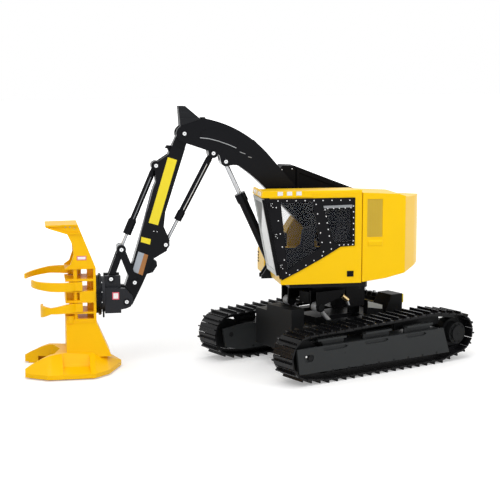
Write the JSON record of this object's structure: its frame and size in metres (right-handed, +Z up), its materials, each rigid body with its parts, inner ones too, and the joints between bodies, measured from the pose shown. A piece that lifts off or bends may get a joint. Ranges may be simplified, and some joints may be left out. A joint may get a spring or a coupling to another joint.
{
  "type": "feller buncher scale model",
  "caption": "Scale model of a tracked levelling feller buncher with a hinged boom and stick, a saw head that tilts and turns, grab arms and a cab on a swing bearing.",
  "frame": {"origin": "on the floor under the centre of the swing bearing", "axes": "+X forward along the tracks, +Y to the machine's left, +Z up"},
  "size_m": [0.2664, 0.1631, 0.1642],
  "materials": {
    "arm_black": "gloss",
    "bright_pin": "polished",
    "bright_rod": "polished",
    "cab_yellow": "gloss",
    "door_grey": "gloss",
    "frame_black": "satin",
    "glass": "clear",
    "head_yellow": "satin",
    "lamp_white": "gloss",
    "panel_black": "satin",
    "saw_steel": "brushed",
    "seat_black": "matte",
    "track_black": "satin",
    "vent_grey": "satin"
  },
  "bodies": {
    "undercarriage": {"carbody": "frame_black", "carbody_pins": "bright_pin", "front_box": "frame_black", "rear_box": "frame_black", "rear_bracket": "frame_black", "track_left": "track_black", "track_frame_left": "frame_black", "sprocket_left": "frame_black", "idler_left": "frame_black", "rollers_left": "frame_black", "track_right": "track_black", "track_frame_right": "frame_black", "sprocket_right": "frame_black", "idler_right": "frame_black", "rollers_right": "frame_black"},
    "level_frame": {"level_frame": "frame_black", "level_pins": "bright_pin"},
    "level_barrel_left": {"level_barrel_left": "arm_black"},
    "level_rod_left": {"level_rod_left": "bright_rod"},
    "level_barrel_right": {"level_barrel_right": "arm_black"},
    "level_rod_right": {"level_rod_right": "bright_rod"},
    "upper": {"deck": "arm_black", "deck_pins": "bright_pin", "cab_shell": "cab_yellow", "cab_side_panel": "panel_black", "cab_glass": "glass", "cab_seat": "seat_black", "cab_roof": "cab_yellow", "brow_lamps": "lamp_white", "hood": "cab_yellow", "vent_screen": "vent_grey", "right_box": "cab_yellow", "boom_guard": "arm_black"},
    "cab_door": {"cab_door": "door_grey", "cab_door_glass": "glass"},
    "boom": {"boom": "arm_black", "boom_horn": "arm_black", "boom_pins": "bright_pin"},
    "boom_barrel": {"boom_barrel": "arm_black"},
    "boom_rod": {"boom_rod": "bright_rod"},
    "stick": {"stick": "arm_black", "stick_pins": "bright_pin"},
    "stick_barrel": {"stick_barrel": "arm_black"},
    "stick_rod": {"stick_rod": "bright_rod"},
    "tilt_barrel": {"tilt_barrel": "arm_black"},
    "tilt_rod": {"tilt_rod": "bright_rod"},
    "rocker": {"rocker": "arm_black", "rocker_pin": "bright_pin"},
    "link": {"link": "arm_black"},
    "head_bracket": {"head_bracket": "arm_black", "bracket_pins": "bright_pin"},
    "head": {"rotator_ring": "arm_black", "head_tower": "head_yellow", "saw_housing": "head_yellow", "head_pins": "bright_pin"},
    "saw_disc": {"saw_disc": "saw_steel"},
    "grab_arm_left": {"grab_arm_left": "head_yellow"},
    "grab_arm_right": {"grab_arm_right": "head_yellow"},
    "accumulator_arm": {"accumulator_arm": "head_yellow"}
  },
  "joints": [
    {"name": "level_tilt", "type": "hinge", "parent": "undercarriage", "child": "level_frame", "pos_m": [-0.008, 0, 0.04], "axis": [0, 1, 0], "range_deg": [-7, 14]},
    {"name": "level_barrel_left_pivot", "type": "hinge", "parent": "undercarriage", "child": "level_barrel_left", "pos_m": [0.001, 0.015, 0.013], "axis": [0, 1, 0], "range_deg": [-4.77, 9.54]},
    {"name": "level_rod_left_slide", "type": "slide", "parent": "level_barrel_left", "child": "level_rod_left", "axis": [0.7071, 0, 0.7071], "range_m": [-0.00646, 0.00323]},
    {"name": "level_barrel_right_pivot", "type": "hinge", "parent": "undercarriage", "child": "level_barrel_right", "pos_m": [0.001, -0.015, 0.013], "axis": [0, 1, 0], "range_deg": [-4.77, 9.54]},
    {"name": "level_rod_right_slide", "type": "slide", "parent": "level_barrel_right", "child": "level_rod_right", "axis": [0.7071, 0, 0.7071], "range_m": [-0.00646, 0.00323]},
    {"name": "swing", "type": "hinge", "parent": "level_frame", "child": "upper", "pos_m": [0, 0, 0.053], "axis": [0, 0, 1], "continuous": true},
    {"name": "cab_door", "type": "hinge", "parent": "upper", "child": "cab_door", "pos_m": [0.06213, 0.0217, 0.0571], "axis": [0.174, -0.0799, 0.9815], "range_deg": [0, 95]},
    {"name": "boom_lift", "type": "hinge", "parent": "upper", "child": "boom", "pos_m": [0.00364, -0.00167, 0.076], "axis": [-0.4174, -0.9087, 0], "range_deg": [-15, 25]},
    {"name": "boom_barrel_pivot", "type": "hinge", "parent": "upper", "child": "boom_barrel", "pos_m": [0.03817, -0.01753, 0.062], "axis": [-0.4174, -0.9087, 0], "range_deg": [-15.23, 25.38]},
    {"name": "boom_rod_slide", "type": "slide", "parent": "boom_barrel", "child": "boom_rod", "axis": [0.3793, -0.1742, 0.9087], "range_m": [-0.01056, 0.0176]},
    {"name": "stick_swing", "type": "hinge", "parent": "boom", "child": "stick", "pos_m": [0.08996, -0.04132, 0.1472], "axis": [0.4174, 0.9087, 0], "range_deg": [-60, 15]},
    {"name": "stick_barrel_pivot", "type": "hinge", "parent": "boom", "child": "stick_barrel", "pos_m": [0.07352, -0.03377, 0.1348], "axis": [0.4174, 0.9087, 0], "range_deg": [-56.84, 14.21]},
    {"name": "stick_rod_slide", "type": "slide", "parent": "stick_barrel", "child": "stick_rod", "axis": [0.4249, -0.1951, -0.884], "range_m": [-0.00543, 0.0217]},
    {"name": "head_tilt", "type": "hinge", "parent": "stick", "child": "head_bracket", "pos_m": [0.12395, -0.05693, 0.0431], "axis": [-0.4174, -0.9087, 0], "range_deg": [-45, 18]},
    {"name": "rocker_pivot", "type": "hinge", "parent": "stick", "child": "rocker", "pos_m": [0.11904, -0.05468, 0.0546], "axis": [-0.4174, -0.9087, 0], "range_deg": [-40.88, 16.35]},
    {"name": "link_pivot", "type": "hinge", "parent": "rocker", "child": "link", "pos_m": [0.12631, -0.05802, 0.0755], "axis": [-0.4174, -0.9087, 0], "range_deg": [-11.38, 28.45]},
    {"name": "tilt_barrel_pivot", "type": "hinge", "parent": "stick", "child": "tilt_barrel", "pos_m": [0.10605, -0.04871, 0.1274], "axis": [-0.4174, -0.9087, 0], "range_deg": [-2.97, 7.43]},
    {"name": "tilt_rod_slide", "type": "slide", "parent": "tilt_barrel", "child": "tilt_rod", "axis": [0.3587, -0.1648, -0.9188], "range_m": [-0.0051, 0.01276]},
    {"name": "head_turn", "type": "hinge", "parent": "head_bracket", "child": "head", "pos_m": [0.13813, -0.06344, 0.047], "axis": [0.9087, -0.4174, 0], "range_deg": [-90, 90]},
    {"name": "saw_spin", "type": "hinge", "parent": "head", "child": "saw_disc", "pos_m": [0.15448, -0.07096, 0.0026], "axis": [0, 0, 1], "continuous": true},
    {"name": "grab_left", "type": "hinge", "parent": "head", "child": "grab_arm_left", "pos_m": [0.15642, -0.06194, 0.054], "axis": [0, 0, 1], "range_deg": [-12, 50]},
    {"name": "grab_right", "type": "hinge", "parent": "head", "child": "grab_arm_right", "pos_m": [0.14891, -0.0783, 0.0615], "axis": [0, 0, -1], "range_deg": [-12, 50]},
    {"name": "accumulator", "type": "hinge", "parent": "head", "child": "accumulator_arm", "pos_m": [0.15642, -0.06194, 0.04065], "axis": [0, 0, 1], "range_deg": [-12, 50]}
  ],
  "couplings": [
    {"joint": "level_barrel_left_pivot", "follows": "level_tilt", "ratio": 0.6677},
    {"joint": "level_rod_left_slide", "follows": "level_tilt", "m_per_rad": -0.025936},
    {"joint": "level_barrel_right_pivot", "follows": "level_tilt", "ratio": 0.6677},
    {"joint": "level_rod_right_slide", "follows": "level_tilt", "m_per_rad": -0.025936},
    {"joint": "boom_barrel_pivot", "follows": "boom_lift", "ratio": 0.9952},
    {"joint": "boom_rod_slide", "follows": "boom_lift", "m_per_rad": 0.039536},
    {"joint": "stick_barrel_pivot", "follows": "stick_swing", "ratio": 0.92876},
    {"joint": "stick_rod_slide", "follows": "stick_swing", "m_per_rad": -0.020317},
    {"joint": "rocker_pivot", "follows": "head_tilt", "ratio": 0.89068},
    {"joint": "link_pivot", "follows": "head_tilt", "ratio": -0.61977},
    {"joint": "tilt_barrel_pivot", "follows": "head_tilt", "ratio": -0.16178},
    {"joint": "tilt_rod_slide", "follows": "head_tilt", "m_per_rad": -0.015923}
  ]
}
